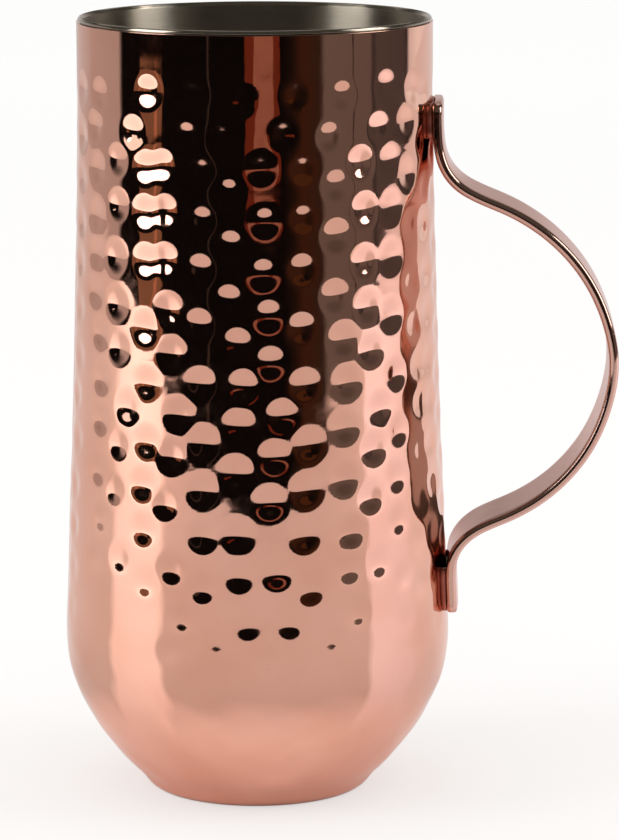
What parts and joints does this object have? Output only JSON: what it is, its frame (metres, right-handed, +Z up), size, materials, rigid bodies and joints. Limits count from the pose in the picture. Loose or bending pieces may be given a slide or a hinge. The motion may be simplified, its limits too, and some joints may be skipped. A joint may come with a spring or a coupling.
{
  "type": "hammered copper water jug",
  "caption": "Tall round-bottomed copper jug with a hammered outside, a steel inside and a flat strap handle on one side.",
  "frame": {"origin": "centre of the flat base, on the surface the jug stands on", "axes": "+Z up along the jug's axis to the rim, +X from the axis towards the handle, +Y completes the right-handed frame; the front is seen looking along +Y with the handle on the right"},
  "size_m": [0.171, 0.1192, 0.24],
  "materials": {
    "hammered_copper": "mirror-polished copper, hand-hammered",
    "base_copper": "polished copper sheet with fine scuffs",
    "handle_copper": "polished copper bar",
    "liner_steel": "brushed stainless steel",
    "solder": "dull seam solder",
    "brazing_metal": "smoothed brazing fillet"
  },
  "bodies": {
    "root": {"outer_shell": "hammered_copper", "base_disc": "base_copper", "base_braze_ring": "brazing_metal", "inner_liner": "liner_steel", "rim_solder_ring": "solder", "handle_strap": "handle_copper", "upper_handle_braze": "brazing_metal", "lower_handle_braze": "brazing_metal"}
  },
  "joints": []
}
